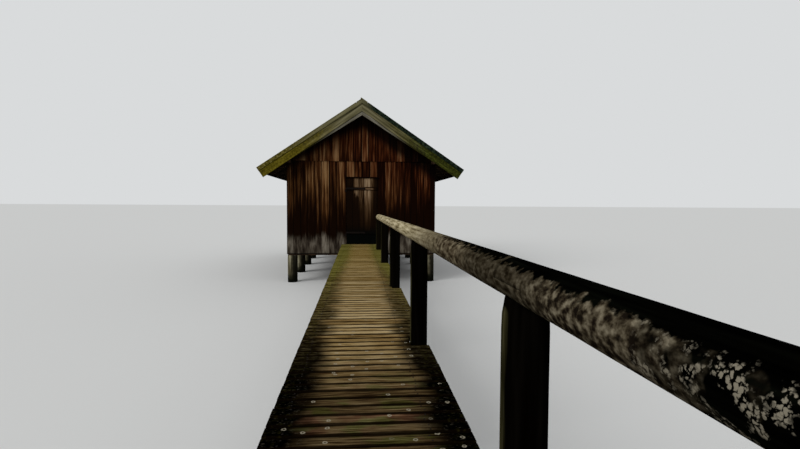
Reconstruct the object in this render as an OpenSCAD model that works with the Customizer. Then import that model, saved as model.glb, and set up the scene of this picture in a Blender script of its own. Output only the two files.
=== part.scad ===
// Timber boathouse on piles, reached by a plank jetty with a log handrail.
// X runs across the hut, Y from the shore end of the jetty to the hut, Z up from the pile feet.
// The origin lies under the middle of the whole plan, at the level of the pile feet.

/* [Hut] */
// Width of the hut over its boarding
hut_w = 4176; // [3600:4:4800]
// Length of the hut over its boarding
hut_l = 8000; // [6000:50:9500]
// Height of the floor and the deck above the pile feet
deck_z = 1070; // [950:10:1600]
// How far the wall boarding hangs below the floor
skirt = 285; // [180:5:320]
// Thickness of the wall boarding
board_t = 25; // [20:1:32]
// Side of the square posts in the walls
post_side = 100; // [80:5:130]
// Height of the wall rails' upper side above the floor
rail_mid_h = 1150; // [900:10:1400]
// How far the gable seam lies below the top of the wall plates
seam_drop = 20; // [0:5:60]
// Length by which the gable boarding laps the wall boarding
seam_lap = 40; // [20:5:60]

/* [Floor] */
// Thickness of the floor boards
floor_t = 30; // [24:1:40]
// Height of the floor joists
joist_h = 140; // [120:5:160]
// Width of the floor joists
joist_w = 80; // [60:5:100]
// Number of floor joists
joist_n = 6; // [4:1:8]
// Side of the cap beams that lie on the pile rows
cap_side = 140; // [120:5:180]
// Radius of the hut piles
hut_pile_r = 140; // [90:1:160]
// How far the outer hut piles stand in from the outside of the walls
hut_pile_in = 5; // [0:5:100]
// Number of pile rows under the hut
pile_rows = 5; // [3:1:6]

/* [Roof] */
// Roof pitch in degrees
pitch = 34; // [32:0.5:36]
// Height of the roof surface above the floor, where it crosses the outside of the side walls
eaves_h = 2572; // [2500:2:2640]
// Level distance from the outside of the side walls to the eaves tip
eaves_out = 730; // [600:5:850]
// How far the roof passes each gable wall
verge_overhang = 440; // [380:5:520]
// Depth of the rafters
rafter_d = 120; // [100:5:140]
// Width of the rafters
rafter_w = 80; // [60:5:100]
// Number of rafter pairs between the gable walls
rafter_n = 10; // [6:1:12]
// How far the rafter tails stop short of the eaves tip
rafter_back = 60; // [30:5:120]
// Thickness of the roof boarding
sheath_t = 22; // [18:1:28]
// Thickness of the shingle covering
shingle_t = 45; // [30:1:60]
// How far the shingles pass the roof boarding at the eaves
shingle_drip = 30; // [10:5:60]
// Thickness of the barge boards
barge_t = 30; // [22:1:40]
// Depth of a barge board at the eaves
barge_eave_d = 290; // [250:5:320]
// Depth of a barge board at the ridge
barge_ridge_d = 350; // [320:5:380]
// Thickness of the upper verge batten on the barge board
verge_strip_t = 22; // [16:1:30]
// Depth of the upper verge batten
verge_strip_d = 85; // [60:5:110]
// Width of the capping boards on the verges
verge_cap_w = 150; // [120:5:200]
// Thickness of the capping boards
cap_board_t = 24; // [18:1:30]
// Width of each ridge capping board
ridge_cap_w = 170; // [140:5:220]
// How far the right ridge capping board stands past the ridge
ridge_lap = 42; // [35:1:60]
// Width of the wall plates
plate_w = 100; // [80:5:120]
// Height of the wall plates
plate_h = 120; // [100:5:140]
// Depth of the seat that a rafter is cut to on a wall plate
plate_seat = 26; // [15:1:35]
// Width of the ridge purlin
purlin_w = 100; // [80:5:120]
// Height of the ridge purlin
purlin_h = 160; // [120:5:200]
// Number of tie beams
tie_n = 4; // [3:1:5]

/* [Door] */
// Width of the doorway through the boarding
door_w = 860; // [800:10:960]
// Height of the doorway above the floor
door_h = 1870; // [1800:10:2000]
// How far the door posts show as a stop inside the doorway
door_stop = 18; // [12:1:30]
// Running gap round the door leaf
door_gap = 6; // [5:1:8]
// Gap under the door leaf
door_foot_gap = 12; // [10:1:20]
// Thickness of the door boards
leaf_t = 25; // [20:1:30]
// Height of the door ledges
ledge_h = 90; // [70:5:110]
// Thickness of the door ledges
ledge_t = 22; // [18:1:28]
// Height of the upper ledge above the floor
ledge_top_h = 1575; // [1500:5:1650]
// Height of the lower ledge above the floor
ledge_low_h = 330; // [250:5:450]
// Height of the strap hinges
strap_h = 45; // [35:1:60]
// Thickness of the strap hinges
strap_t = 5; // [4:0.5:6]
// Length of the strap hinges along the leaf
strap_l = 520; // [350:10:700]
// Radius of the hinge pins
pin_r = 6; // [5:0.5:8]
// Radius of the hinge eyes
eye_r = 11; // [10.5:0.5:14]
// How far the hinge axis stands outside the leaf edge
pin_out = 13; // [12:1:16]
// Running clearance of a pin in its eye
pin_fit = 0.08; // [0.05:0.01:0.1]
// Thickness of the hook plates on the wall
hook_plate_t = 6; // [4:0.5:8]
// Width of the hook plates beside the pin
hook_plate_w = 34; // [25:1:50]
// Height of the hook plates
hook_plate_h = 70; // [50:1:90]
// How far the hook arms lie below the hinge eyes
hook_gap = 5; // [5:0.5:8]
// Height of the hook arms
hook_arm_h = 15; // [10:1:20]
// How far a pin stands out above its eye
pin_stand = 4; // [2:1:8]
// How far the drip board over the door stands out
drip_out = 45; // [30:5:70]
// Height of the drip board over the door
drip_h = 30; // [20:1:40]

/* [Jetty] */
// Width of the deck
deck_w = 1064; // [900:2:1300]
// How far the middle of the deck lies to the right of the hut's middle
deck_x = -32; // [-60:1:60]
// Thickness of the deck planks
plank_t = 38; // [30:1:50]
// Gap between neighbouring deck fields, and round the handrail posts
deck_gap = 8; // [5:1:12]
// Distance from the hut to the first handrail post
landing_l = 1455; // [1300:5:1800]
// Distance between the next handrail posts
bay_l = 2714; // [2300:2:3000]
// Number of those bays
bay_n = 3; // [2:1:4]
// Distance between the last handrail posts at the shore end
shore_bay_l = 2586; // [2200:2:2800]
// Number of shore bays
shore_bay_n = 2; // [1:1:2]
// How far the deck runs past the last post
end_l = 122; // [100:1:150]
// Width of the stringers
stringer_w = 100; // [80:5:120]
// Height of the stringers
stringer_h = 140; // [120:5:180]
// Thickness of the clamping beams
clamp_t = 60; // [50:5:70]
// Height of the clamping beams
clamp_h = 160; // [120:5:200]
// How far the clamping beams stand past the deck on the right
clamp_out = 20; // [0:5:60]
// How far the clamping beams stop short of the deck's left edge
clamp_back = 10; // [0:5:40]
// How deep the piles are notched for the clamping beams
clamp_notch = 12; // [8:1:20]
// Radius of the short jetty piles
jetty_pile_r = 80; // [76:1:95]
// How far the left piles stand in from the deck's left edge
pile_in = 20; // [0:5:80]
// Gap between the handrail posts and the right stringer
stringer_gap = 20; // [5:5:60]
// Distance from the hut to the last pair of jetty piles
hut_bent_l = 260; // [220:10:400]

/* [Handrail] */
// Radius of the handrail posts
rail_post_r = 74; // [70:1:85]
// Radius of the handrail logs
rail_r = 74; // [60:1:80]
// Height of the handrail's middle above the deck at the first post
rail_hut_h = 812; // [780:2:900]
// Height of the handrail's middle above the deck at the last post
rail_shore_h = 950; // [900:2:1000]
// How deep a log lies in its post head
saddle_d = 30; // [20:1:40]
// Height of the tapered head of a handrail post
head_h = 60; // [40:5:90]
// Radius at the top of a post head
head_r = 64; // [58:1:70]
// Length of the half laps between handrail logs
lap_l = 260; // [200:10:320]
// How far the handrail passes the first post
rail_end_l = 110; // [80:5:160]
// Gap where one piece is seated on another
seat_gap = 0.3; // [0.2:0.1:0.5]

/* [Hidden] */
$fn = 64;

// Lengths along Y
post_n = 1 + bay_n + shore_bay_n;
jetty_l = landing_l + bay_n * bay_l + shore_bay_n * shore_bay_l + end_l;
front_y = (jetty_l - hut_l - verge_overhang) / 2;
rear_y = front_y + hut_l;
shore_y = front_y - jetty_l;
frame_front_y = front_y + board_t;
frame_rear_y = rear_y - board_t;
barge_back = verge_overhang - verge_strip_t - barge_t;

// Distance of a handrail post from the hut, counted from the hut outwards
function post_run(i) = landing_l + min(i, bay_n) * bay_l + max(i - bay_n, 0) * shore_bay_l;
function post_y(i) = front_y - post_run(i);

// Lengths across X
frame_x = hut_w / 2 - board_t;
deck_left = deck_x - deck_w / 2;
deck_right = deck_x + deck_w / 2;
rail_x = deck_right - rail_post_r;
left_pile_x = deck_left + pile_in + jetty_pile_r;
right_stringer_x = rail_x - rail_post_r - stringer_gap - stringer_w / 2;

// Levels
wall_foot = deck_z - skirt;
joist_z = deck_z - floor_t - joist_h;
cap_z = joist_z - cap_side;
door_top = deck_z + door_h;
stringer_z = deck_z - plank_t - stringer_h;
clamp_z = stringer_z - clamp_h;

// Roof planes: each is a drop below the covering's surface, measured square to the slope
cos_p = cos(pitch);
tan_p = tan(pitch);
roof_apex = deck_z + eaves_h + hut_w / 2 * tan_p;
roof_half = hut_w / 2 + eaves_out;
function plane_z(x, drop) = roof_apex - drop / cos_p - abs(x) * tan_p;
sheath_top = shingle_t + seat_gap;
sheath_low = sheath_top + sheath_t;
rafter_top = sheath_low + seat_gap;
rafter_low = rafter_top + rafter_d;
plate_top = plane_z(frame_x, rafter_low) + plate_seat;
plate_z = plate_top - plate_h;
purlin_top = plane_z(purlin_w / 2, rafter_low) + plate_seat;
purlin_z = purlin_top - purlin_h;
seam_z = plate_top - seam_drop;

// Hinge
leaf_y = front_y + board_t - door_gap - leaf_t;
leaf_half = door_w / 2 - door_gap;
strap_y = leaf_y - ledge_t - strap_t;
pin_x = -leaf_half - pin_out;
pin_y = strap_y + eye_r;
strap_heights = [deck_z + ledge_low_h, deck_z + ledge_top_h];

// A box given by its low and high corners
module block(low, high) {
    translate(low) cube([for (i = [0:2]) high[i] - low[i]]);
}

// A plate with its outline in the XZ plane, from y0 to y1
module upright(outline, y0, y1) {
    translate([0, y1, 0]) rotate([90, 0, 0]) linear_extrude(height = y1 - y0) polygon(outline);
}

// Copies a shape to the left side, or keeps it on the right
module side(s) {
    if (s < 0) mirror([1, 0, 0]) children(); else children();
}

// A round timber standing on the pile feet level
module pole(x, y, r, top) {
    translate([x, y, 0]) cylinder(r = r, h = top);
}

// Hut base

hut_pile_x = hut_w / 2 - hut_pile_in - hut_pile_r;
function row_y(i) = frame_front_y + cap_side / 2
    + i * (frame_rear_y - frame_front_y - cap_side) / (pile_rows - 1);

module hut_piles() {
    color("#8a8478") for (i = [0:pile_rows - 1], x = [-hut_pile_x, 0, hut_pile_x])
        pole(x, row_y(i), hut_pile_r, cap_z);
}

module cap_beams() {
    color("#3f3730") for (i = [0:pile_rows - 1])
        block([-frame_x, row_y(i) - cap_side / 2, cap_z], [frame_x, row_y(i) + cap_side / 2, joist_z]);
}

module floor_joists() {
    step = (2 * frame_x - joist_w) / (joist_n - 1);
    color("#4a4036") for (i = [0:joist_n - 1]) {
        x = -frame_x + i * step;
        block([x, frame_front_y, joist_z], [x + joist_w, frame_rear_y, joist_z + joist_h]);
    }
}

module floor_boards() {
    color("#6b5a45") block([-frame_x, frame_front_y, deck_z - floor_t], [frame_x, frame_rear_y, deck_z]);
}

// Boarding

// The space that a wall plate takes where it passes through a gable wall
module plate_slot() {
    for (s = [-1, 1]) side(s)
        block([frame_x - plate_w, front_y - verge_overhang, plate_z],
              [hut_w / 2 + 1, rear_y + verge_overhang, plate_top]);
}

module purlin_slot() {
    block([-purlin_w / 2, front_y - verge_overhang, purlin_z],
          [purlin_w / 2, rear_y + verge_overhang, purlin_top]);
}

module front_wall_left() {
    color("#3a2016") difference() {
        block([-hut_w / 2, front_y, wall_foot], [-door_w / 2, frame_front_y, seam_z]);
        plate_slot();
    }
}

module front_wall_right() {
    color("#3a2016") difference() {
        block([door_w / 2, front_y, wall_foot], [hut_w / 2, frame_front_y, seam_z]);
        plate_slot();
    }
}

module front_wall_over_door() {
    color("#3a2016") block([-door_w / 2, front_y, door_top], [door_w / 2, frame_front_y, seam_z]);
}

module front_wall_under_door() {
    color("#3a2016") block([-door_w / 2, front_y, wall_foot], [door_w / 2, frame_front_y, deck_z]);
}

// Gable boarding: packed out above the seam, with a lip that laps the wall below
module gable(outer_y, inner_y, lap_y) {
    low = min(outer_y, inner_y);
    high = max(outer_y, inner_y);
    color("#40241a") difference() {
        upright([
            [-hut_w / 2, seam_z - seam_lap], [hut_w / 2, seam_z - seam_lap],
            [hut_w / 2, plane_z(hut_w / 2, rafter_top)], [0, plane_z(0, rafter_top)],
            [-hut_w / 2, plane_z(hut_w / 2, rafter_top)]
        ], low, high);
        block([-hut_w, min(lap_y, inner_y), 0], [hut_w, max(lap_y, inner_y), seam_z]);
        plate_slot();
        purlin_slot();
    }
}

module front_gable() { gable(front_y - board_t, frame_front_y, front_y); }
module rear_gable() { gable(rear_y + board_t, frame_rear_y, rear_y); }

module rear_wall() {
    color("#3a2016") difference() {
        block([-hut_w / 2, frame_rear_y, wall_foot], [hut_w / 2, rear_y, seam_z]);
        plate_slot();
    }
}

side_wall_top = plane_z(hut_w / 2, rafter_low) - 3;
module side_wall(s) {
    color("#3a2016") side(s)
        block([frame_x, frame_front_y, wall_foot], [hut_w / 2, frame_rear_y, side_wall_top]);
}

module left_wall() { side_wall(-1); }
module right_wall() { side_wall(1); }

// Frame

door_post_in = door_w / 2 - door_stop;
function bay_post_y(i) = frame_front_y + i * (frame_rear_y - frame_front_y - post_side) / 3;

module square_post(x, y) {
    block([x, y, deck_z], [x + post_side, y + post_side, plate_z]);
}

module wall_posts() {
    color("#4d3f33") {
        for (s = [-1, 1], i = [0:3]) side(s) square_post(frame_x - post_side, bay_post_y(i));
        for (s = [-1, 1]) side(s) square_post(door_post_in, frame_front_y);
        square_post(-post_side / 2, frame_rear_y - post_side);
    }
}

rail_mid = deck_z + rail_mid_h;
rail_low = rail_mid - post_side;
module wall_rails() {
    color("#4d3f33") {
        for (s = [-1, 1]) side(s) {
            for (i = [0:2])
                block([frame_x - post_side, bay_post_y(i) + post_side + seat_gap, rail_low],
                      [frame_x, bay_post_y(i + 1) - seat_gap, rail_mid]);
            block([door_post_in + post_side, frame_front_y, rail_low],
                  [frame_x - post_side, frame_front_y + post_side, rail_mid]);
            block([post_side / 2, frame_rear_y - post_side, rail_low],
                  [frame_x - post_side, frame_rear_y, rail_mid]);
        }
        block([-door_post_in, frame_front_y, door_top - door_stop],
              [door_post_in, frame_front_y + post_side, door_top - door_stop + post_side]);
        for (y = [frame_front_y, frame_rear_y - post_side])
            block([plate_w - frame_x, y, plate_z], [frame_x - plate_w, y + post_side, plate_top - plate_h / 6]);
    }
}

module wall_plates() {
    color("#4d3f33") for (s = [-1, 1]) side(s)
        block([frame_x - plate_w, front_y - barge_back, plate_z], [frame_x, rear_y + barge_back, plate_top]);
}

// Each tie lies beside the nearest rafter pair, the last one on its inner side
function rafter_y(i) = frame_front_y + i * (frame_rear_y - frame_front_y - rafter_w) / (rafter_n - 1);
function tie_y(i) = rafter_y(round(i * (rafter_n - 1) / (tie_n - 1)))
    + (i < tie_n - 1 ? rafter_w + seat_gap : -post_side - seat_gap);
tie_half = frame_x - plate_w / 4;

module tie_beams() {
    color("#4d3f33") for (i = [0:tie_n - 1])
        block([-tie_half, tie_y(i), plate_top], [tie_half, tie_y(i) + post_side, plate_top + post_side]);
}

module king_posts() {
    color("#4d3f33") for (i = [0:tie_n - 1])
        block([-post_side / 2, tie_y(i), plate_top + post_side],
              [post_side / 2, tie_y(i) + post_side, purlin_z - seat_gap]);
}

module ridge_purlin() {
    color("#4d3f33") block([-purlin_w / 2, front_y - barge_back, purlin_z],
                           [purlin_w / 2, rear_y + barge_back, purlin_top]);
}

// Roof

// The outline of a layer on the right slope, between two depths under the surface,
// with its foot cut square to the slope
function layer(top, low, half) = [
    [0, plane_z(0, top)], [half - top * sin(pitch), plane_z(half - top * sin(pitch), top)],
    [half - low * sin(pitch), plane_z(half - low * sin(pitch), low)], [0, plane_z(0, low)]
];

module slope_layer(s, top, low, half, y0, y1) {
    side(s) upright(layer(top, low, half), y0, y1);
}

rafter_ys = concat(
    [front_y - barge_back],
    [for (i = [0:rafter_n - 1]) rafter_y(i)],
    [rear_y + barge_back - rafter_w]
);

// Rafters are cut over the purlin and the wall plate, and meet at a plumb joint
module rafters(s) {
    color("#463a30") difference() {
        for (y = rafter_ys)
            slope_layer(s, rafter_top, rafter_low, roof_half - rafter_back, y, y + rafter_w);
        plate_slot();
        purlin_slot();
    }
}

module rafters_left() { rafters(-1); }
module rafters_right() { rafters(1); }

module roof_boards(s) {
    color("#544636") slope_layer(s, sheath_top, sheath_low, roof_half - shingle_drip,
                                 front_y - barge_back, rear_y + barge_back);
}

module roof_boards_left() { roof_boards(-1); }
module roof_boards_right() { roof_boards(1); }

module shingles(s) {
    color("#5d5a4c") slope_layer(s, 0, shingle_t, roof_half, front_y - barge_back, rear_y + barge_back);
}

module shingles_left() { shingles(-1); }
module shingles_right() { shingles(1); }

// A barge board hangs over the roof's edge: deeper at the ridge, cut square at the foot,
// with a batten along its upper edge
module barge_board(s, face_y, out) {
    foot_x = roof_half - barge_eave_d * sin(pitch);
    outline = [
        [0, plane_z(0, 0)], [roof_half, plane_z(roof_half, 0)],
        [foot_x, plane_z(foot_x, barge_eave_d)], [0, plane_z(0, barge_ridge_d)]
    ];
    color("#77763f") union() {
        side(s) upright(outline, min(face_y, face_y + out * barge_t), max(face_y, face_y + out * barge_t));
        slope_layer(s, 0, verge_strip_d, roof_half,
                    min(face_y, face_y + out * (barge_t + verge_strip_t)),
                    max(face_y, face_y + out * (barge_t + verge_strip_t)));
    }
}

module barge_board_front_left() { barge_board(-1, front_y - barge_back, -1); }
module barge_board_front_right() { barge_board(1, front_y - barge_back, -1); }
module barge_board_rear_left() { barge_board(-1, rear_y + barge_back, 1); }
module barge_board_rear_right() { barge_board(1, rear_y + barge_back, 1); }

// The capping boards lie on the covering, below the ridge capping
module verge_caps() {
    top_x = ridge_cap_w * cos_p + cap_board_t * sin(pitch) + seat_gap;
    color("#5f5d4a") for (s = [-1, 1], y = [front_y - verge_overhang, rear_y + verge_overhang - verge_cap_w])
        intersection() {
            slope_layer(s, -seat_gap - cap_board_t, -seat_gap, roof_half, y, y + verge_cap_w);
            side(s) block([top_x, y, 0], [2 * roof_half, y + verge_cap_w, roof_apex]);
        }
}

// Two capping boards along the ridge: the right one lies over the left one and stands past it
module ridge_cap() {
    run = ridge_cap_w * cos_p;
    out = cap_board_t * sin(pitch);
    top = -seat_gap - cap_board_t;
    meet = cap_board_t / (2 * sin(pitch));
    lap_z = plane_z(0, -seat_gap) + ridge_lap * tan_p;
    color("#5f5d4a") upright([
        [0, plane_z(0, -seat_gap)], [-run, plane_z(run, -seat_gap)], [-run - out, plane_z(run + out, top)],
        [-meet, plane_z(meet, top)], [-ridge_lap, lap_z], [out - ridge_lap, lap_z + cap_board_t * cos_p],
        [run + out, plane_z(run + out, top)], [run, plane_z(run, -seat_gap)]
    ], front_y - verge_overhang, rear_y + verge_overhang);
}

// Door

module door_drip_board() {
    color("#2c1a12") block([-door_w / 2 - 40, front_y - drip_out, door_top],
                           [door_w / 2 + 40, front_y, door_top + drip_h]);
}

module door_leaf() {
    color("#33231a") union() {
        block([-leaf_half, leaf_y, deck_z + door_foot_gap], [leaf_half, leaf_y + leaf_t, door_top - door_gap]);
        for (z = strap_heights)
            block([15 - leaf_half, leaf_y - ledge_t, z - ledge_h / 2], [leaf_half - 15, leaf_y, z + ledge_h / 2]);
    }
}

// Each strap ends in an eye that turns on its pin
module door_straps() {
    color("#2a2522") for (z = strap_heights) difference() {
        union() {
            block([pin_x, strap_y, z - strap_h / 2], [strap_l - leaf_half, strap_y + strap_t, z + strap_h / 2]);
            translate([pin_x, pin_y, z - strap_h / 2]) cylinder(r = eye_r, h = strap_h);
        }
        translate([pin_x, pin_y, z - strap_h]) cylinder(r = pin_r + pin_fit, h = 2 * strap_h);
    }
}

// Each hook is a pin on a bracket that is screwed to the wall boarding under the eye
module hinge_hooks() {
    color("#2a2522") for (z = strap_heights) {
        arm_top = z - strap_h / 2 - hook_gap;
        arm_low = arm_top - hook_arm_h;
        translate([pin_x, pin_y, arm_low])
            cylinder(r = pin_r, h = hook_arm_h + hook_gap + strap_h + pin_stand);
        block([pin_x - pin_r, pin_y, arm_low], [pin_x + pin_r, front_y - hook_plate_t, arm_top]);
        block([pin_x - pin_r - hook_plate_w, front_y - hook_plate_t, arm_top - hook_plate_h],
              [pin_x + pin_r, front_y, arm_top]);
    }
}

// Jetty

bent_ys = concat([front_y - hut_bent_l], [for (i = [0:post_n - 1]) post_y(i)]);

// A deck field between two posts, with a shorter strip beside the post at its shore end
module deck_bay(i) {
    near = i == 0 ? front_y - seat_gap : post_y(i - 1) - rail_post_r - deck_gap;
    far = post_y(i) + rail_post_r + deck_gap;
    strip_end = i == post_n - 1 ? shore_y : post_y(i) - rail_post_r;
    color("#6f5a3d") {
        block([deck_left, far, deck_z - plank_t], [deck_right, near, deck_z]);
        block([deck_left, strip_end, deck_z - plank_t],
              [rail_x - rail_post_r - deck_gap, far - deck_gap, deck_z]);
    }
}

module stringers() {
    color("#4a3d2e") for (x = [left_pile_x, right_stringer_x])
        block([x - stringer_w / 2, shore_y, stringer_z],
              [x + stringer_w / 2, front_y - seat_gap, stringer_z + stringer_h]);
}

// Notches for the clamping beams, cut into the sides of the poles at one bent
module clamp_notches(y, r) {
    for (s = [-1, 1]) {
        inner = y + s * (r - clamp_notch);
        outer = y + s * 2 * r;
        block([-hut_w, min(inner, outer), clamp_z], [hut_w, max(inner, outer), stringer_z]);
    }
}

clamp_in = rail_post_r - clamp_notch;
module clamp_beams() {
    color("#4a3d2e") for (y = bent_ys, s = [-1, 1]) {
        low = s < 0 ? y - clamp_in - clamp_t : y + clamp_in;
        block([deck_left + clamp_back, low, clamp_z], [deck_right + clamp_out, low + clamp_t, stringer_z]);
    }
}

// The short piles end under the stringers
module jetty_pile(x, y) {
    color("#5a5245") difference() {
        pole(x, y, jetty_pile_r, stringer_z);
        clamp_notches(y, rail_post_r);
    }
}

module jetty_piles() {
    for (y = bent_ys) jetty_pile(left_pile_x, y);
    jetty_pile(right_stringer_x, bent_ys[0]);
}

// The handrail runs straight from the first post to the last, a little lower at the hut
rail_run = (bay_n * bay_l) + (shore_bay_n * shore_bay_l);
rail_fall = atan((rail_shore_h - rail_hut_h) / rail_run);
function rail_z(run) = deck_z + rail_hut_h + (run - landing_l) * tan(rail_fall);

// Places a shape that is drawn along -Y from the first post at the handrail's middle
module on_rail() {
    translate([rail_x, post_y(0), deck_z + rail_hut_h]) rotate([-rail_fall, 0, 0]) children();
}

module rail_posts() {
    color("#3b362f") for (i = [0:post_n - 1]) {
        top = rail_z(post_run(i)) - rail_r + saddle_d;
        difference() {
            union() {
                pole(rail_x, post_y(i), rail_post_r, top - head_h);
                translate([rail_x, post_y(i), top - head_h])
                    cylinder(r1 = rail_post_r, r2 = head_r, h = head_h);
            }
            clamp_notches(post_y(i), rail_post_r);
            on_rail() rotate([90, 0, 0]) translate([0, 0, -bay_l])
                cylinder(r = rail_r + seat_gap, h = rail_run + 2 * bay_l);
        }
    }
}

// Runs along the handrail at which logs are spliced, and its two ends
splice_runs = [-rail_end_l, 2 * bay_l, bay_n * bay_l + shore_bay_l, rail_run + end_l - 10];

// A log from one splice to the next: its hut end laps over the log before it,
// and its shore end lies under the one that follows
module handrail_log(i) {
    from = splice_runs[i] - (i == 0 ? 0 : lap_l / 2);
    to = splice_runs[i + 1] + (i == 2 ? 0 : lap_l / 2);
    color("#8d8571") on_rail() difference() {
        rotate([90, 0, 0]) translate([0, 0, from]) cylinder(r = rail_r, h = to - from);
        if (i > 0) block([-2 * rail_r, -from - lap_l - seat_gap, -2 * rail_r], [2 * rail_r, -from + 1, seat_gap / 2]);
        if (i < 2) block([-2 * rail_r, -to - 1, -seat_gap / 2], [2 * rail_r, -to + lap_l + seat_gap, 2 * rail_r]);
    }
}

hut_piles();
cap_beams();
floor_joists();
floor_boards();
front_wall_left();
front_wall_right();
front_wall_over_door();
front_wall_under_door();
front_gable();
rear_wall();
rear_gable();
left_wall();
right_wall();
wall_posts();
wall_rails();
wall_plates();
tie_beams();
king_posts();
ridge_purlin();
rafters_left();
rafters_right();
roof_boards_left();
roof_boards_right();
shingles_left();
shingles_right();
barge_board_front_left();
barge_board_front_right();
barge_board_rear_left();
barge_board_rear_right();
verge_caps();
ridge_cap();
door_drip_board();
door_leaf();
door_straps();
hinge_hooks();
deck_bay(0);  // deck_bay_1
deck_bay(1);  // deck_bay_2
deck_bay(2);  // deck_bay_3
deck_bay(3);  // deck_bay_4
deck_bay(4);  // deck_bay_5
deck_bay(5);  // deck_bay_6
stringers();
clamp_beams();
jetty_piles();
rail_posts();
handrail_log(0);  // handrail_log_1
handrail_log(1);  // handrail_log_2
handrail_log(2);  // handrail_log_3
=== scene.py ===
import math
import random

import bmesh
import bpy
from mathutils import Matrix, Vector, noise


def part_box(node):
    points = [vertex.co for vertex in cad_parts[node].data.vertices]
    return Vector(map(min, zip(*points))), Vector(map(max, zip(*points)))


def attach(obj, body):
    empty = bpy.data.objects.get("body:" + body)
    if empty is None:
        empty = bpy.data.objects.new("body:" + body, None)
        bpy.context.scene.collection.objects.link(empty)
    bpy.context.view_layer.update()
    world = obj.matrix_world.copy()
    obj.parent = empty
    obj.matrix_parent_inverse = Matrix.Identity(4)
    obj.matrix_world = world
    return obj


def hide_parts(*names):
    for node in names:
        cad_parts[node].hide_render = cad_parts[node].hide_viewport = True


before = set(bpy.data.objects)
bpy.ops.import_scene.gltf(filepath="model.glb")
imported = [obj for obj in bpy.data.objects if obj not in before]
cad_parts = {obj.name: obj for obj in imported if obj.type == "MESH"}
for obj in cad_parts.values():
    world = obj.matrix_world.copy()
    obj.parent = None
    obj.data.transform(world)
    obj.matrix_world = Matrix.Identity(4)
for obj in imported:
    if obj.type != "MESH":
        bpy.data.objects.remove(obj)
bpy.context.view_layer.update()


# Piles of the hut: round softwood timbers driven into the lake bed, peeled and left bare.
# Sun and water have turned them grey-brown, with long drying cracks and a dark wet foot.
pile_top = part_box("hut_piles")[1].z
beam_low, beam_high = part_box("cap_beams")
half_beam = 0.07
first_row, last_row = beam_low.y + half_beam, beam_high.y - half_beam
pile_rows = [first_row + row * (last_row - first_row) / 4 for row in range(5)]
pile_radius = 0.140
pile_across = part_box("hut_piles")[1].x - pile_radius


def linear(code):
    """An sRGB hex colour as linear RGBA."""
    parts = [int(code[at:at + 2], 16) / 255 for at in (1, 3, 5)]
    return [part / 12.92 if part <= 0.04045 else ((part + 0.055) / 1.055) ** 2.4 for part in parts] + [1.0]


def add(finish, kind, inputs=(), stops=(), out=0, **settings):
    """Adds a node with its settings, colour stops, values and links, and gives back an output of it.
    The inputs are a list of the first ones, or a dict. A text is a hex colour. A tuple is a sum: a start,
    and then pairs of a part and its weight."""
    made = finish.node_tree.nodes.new("ShaderNode" + kind)
    for key, value in settings.items():
        setattr(made, key, value)
    for count, (place, code) in enumerate(stops):
        marks = made.color_ramp.elements
        mark = marks[count] if count < 2 else marks.new(place)
        mark.position, mark.color = place, linear(code)
    for key, value in inputs.items() if isinstance(inputs, dict) else enumerate(inputs):
        if isinstance(value, tuple):
            value, *parts = value
            for part, weight in parts:
                value = add(finish, "Math", [part, weight, value], operation="MULTIPLY_ADD")
        if isinstance(value, bpy.types.NodeSocket):
            finish.node_tree.links.new(value, made.inputs[key])
        else:
            made.inputs[key].default_value = linear(value) if isinstance(value, str) else value
    return made.outputs[out]


def new_finish(name, rough, sheen):
    finish = bpy.data.materials.new(name)
    finish.use_nodes = True
    shader = finish.node_tree.nodes["Principled BSDF"]
    shader.inputs["Roughness"].default_value = rough
    shader.inputs["Specular IOR Level"].default_value = sheen
    return finish


def link(finish, output, socket="Base Color"):
    finish.node_tree.links.new(output, finish.node_tree.nodes["Principled BSDF"].inputs[socket])
    return finish


class Timber:
    """A wood finish. Fibres and broader streaks run along the piece, at sizes given in metres."""

    def __init__(self, name, fibre, streak, stretch=22, lie=None, relief=0.001, rough=0.85, sheen=0.02):
        self.skin = skin = new_finish(name, rough, sheen)
        self.place = add(skin, "TexCoord", out="Object")
        self.x, self.y, self.z = add(skin, "SeparateXYZ", [self.place], out=slice(0, 3))
        self.out_x, self.out_y, self.out_z = add(skin, "SeparateXYZ", [
            add(skin, "NewGeometry", out="Normal")], out=slice(0, 3))
        self.from_middle = add(skin, "Math", [self.x], operation="ABSOLUTE")
        self.tone = add(skin, "Attribute", out="Fac", attribute_name="tone")
        if lie:
            self.along, self.grain = "XYZ".index(lie), self.place
        else:
            self.along, self.grain = 1, add(skin, "UVMap", uv_map="grain")
            # 0 along the middle of a board's face and 0.5 at its edges
            across = add(skin, "SeparateXYZ", [add(skin, "UVMap", uv_map="face")])
            self.edge = add(skin, "Math", [(-0.5, (across, 1.0))], operation="ABSOLUTE")
        self.fibres = self.drawn_out(fibre, stretch, 3.0)
        self.streaks = self.drawn_out(streak, stretch * 0.7, 2.0)
        link(skin, add(skin, "Bump", {"Height": self.fibres, "Distance": relief, "Strength": 0.8}), "Normal")

    def drawn_out(self, size, stretch, detail):
        """Noise of that size across the grain, drawn out along it."""
        scale = [1 / size] * 3
        scale[self.along] /= stretch
        return add(self.skin, "TexNoise", {
            "Vector": add(self.skin, "Mapping", {"Vector": self.grain, "Scale": scale}),
            "Scale": 1.0, "Detail": detail, "Roughness": 0.6})

    def patches(self, size, detail=3.0, squash=(1, 1, 1)):
        """Soft patches of about that size, tied to the place on the object."""
        return add(self.skin, "TexNoise", {
            "Vector": add(self.skin, "Mapping", {"Vector": self.place, "Scale": [part / size for part in squash]}),
            "Scale": 1.0, "Detail": detail})


def in_scene(name, data):
    made = bpy.data.objects.new(name, data)
    bpy.context.scene.collection.objects.link(made)
    return made


def new_piece(name, corners, faces):
    mesh = bpy.data.meshes.new(name)
    mesh.from_pydata(corners, [], faces)
    return in_scene(name, mesh)


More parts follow.
